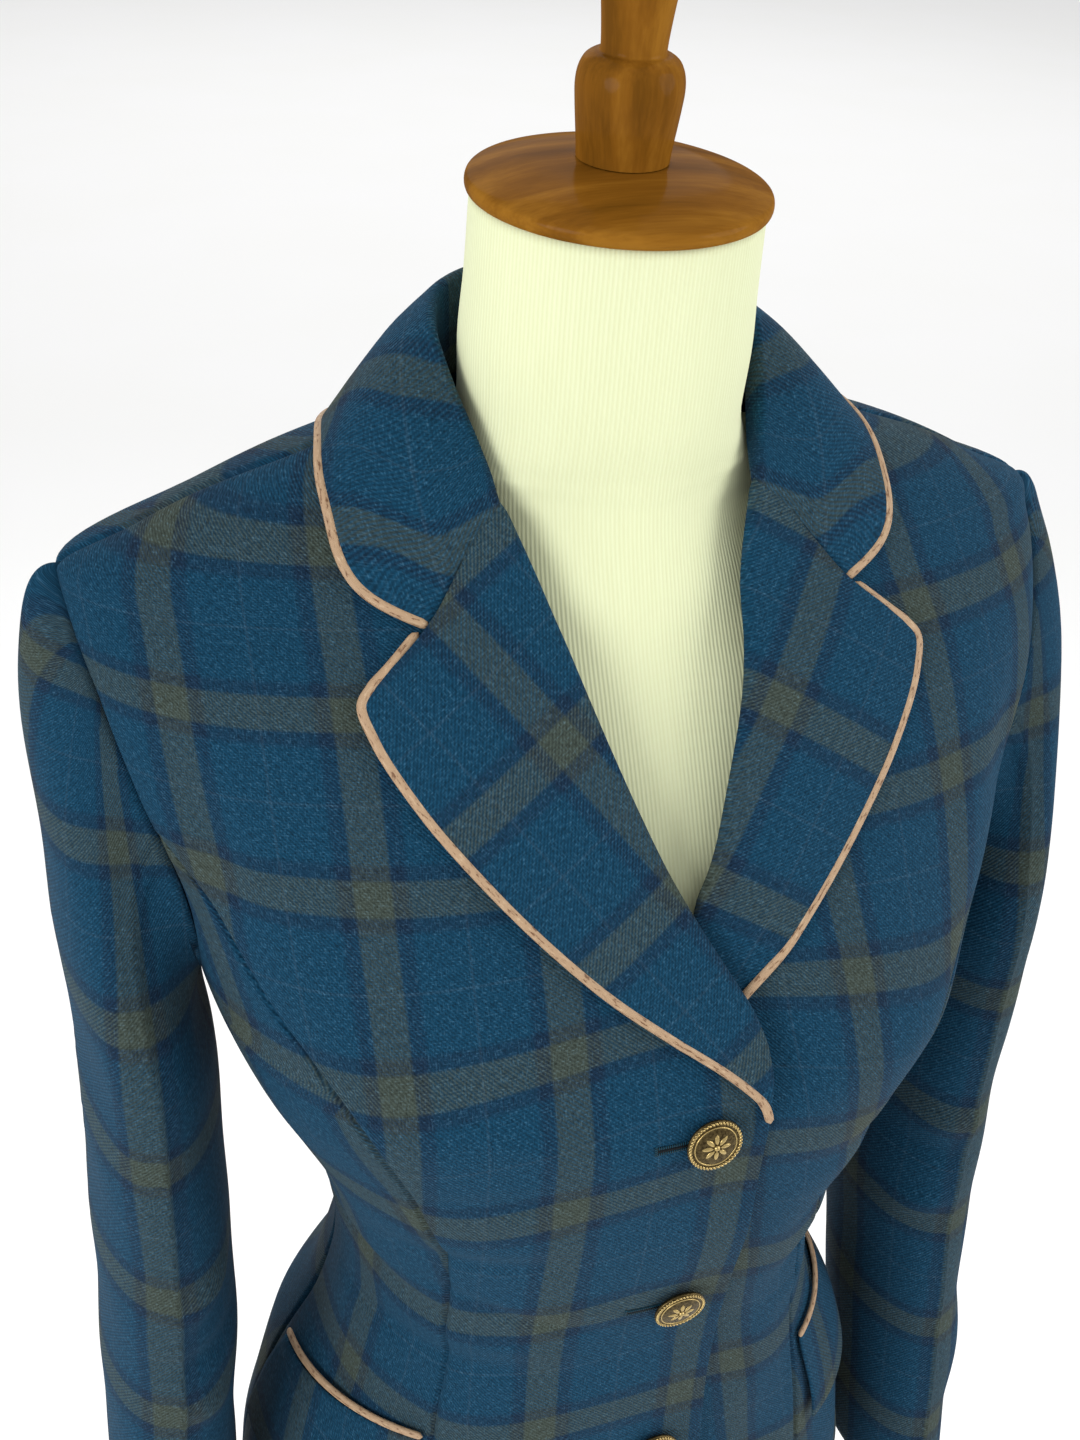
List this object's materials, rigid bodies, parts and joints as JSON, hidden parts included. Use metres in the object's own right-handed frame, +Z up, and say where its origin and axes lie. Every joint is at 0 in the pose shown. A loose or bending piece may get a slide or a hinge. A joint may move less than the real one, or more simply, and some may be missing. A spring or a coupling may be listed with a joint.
{
  "type": "hunt coat on a dress form",
  "caption": "Fitted plaid hunt coat with notched lapels, piped edges and brass buttons, on a limbless dress form with a round stand.",
  "frame": {"origin": "on the floor under the middle of the stand's round base", "axes": "+Z up along the pole, -Y out of the coat's front, +X to the wearer's left"},
  "size_m": [0.483, 0.34, 1.5861],
  "materials": {
    "plaid_wool": "teal wool twill with an olive windowpane check",
    "cork_piping": "tan flecked cord, matte",
    "antique_brass": "darkened in the hollows, worn bright on the relief",
    "cream_jersey": "fine ribbed cotton jersey",
    "stained_wood": "warm brown stain under satin varnish"
  },
  "bodies": {
    "root": {"front_left": "plaid_wool", "side_front_left": "plaid_wool", "back_left": "plaid_wool", "lapel_left": "plaid_wool", "sleeve_upper_left": "plaid_wool", "sleeve_under_left": "plaid_wool", "pocket_flap_left": "plaid_wool", "front_right": "plaid_wool", "side_front_right": "plaid_wool", "back_right": "plaid_wool", "lapel_right": "plaid_wool", "sleeve_upper_right": "plaid_wool", "sleeve_under_right": "plaid_wool", "pocket_flap_right": "plaid_wool", "collar": "plaid_wool", "lapel_piping_left": "cork_piping", "pocket_piping_left": "cork_piping", "lapel_piping_right": "cork_piping", "pocket_piping_right": "cork_piping", "collar_piping": "cork_piping", "button_1": "antique_brass", "button_2": "antique_brass", "button_3": "antique_brass", "form_torso": "cream_jersey", "neck_cap": "stained_wood", "finial": "stained_wood", "pole": "stained_wood", "base": "stained_wood"}
  },
  "joints": []
}
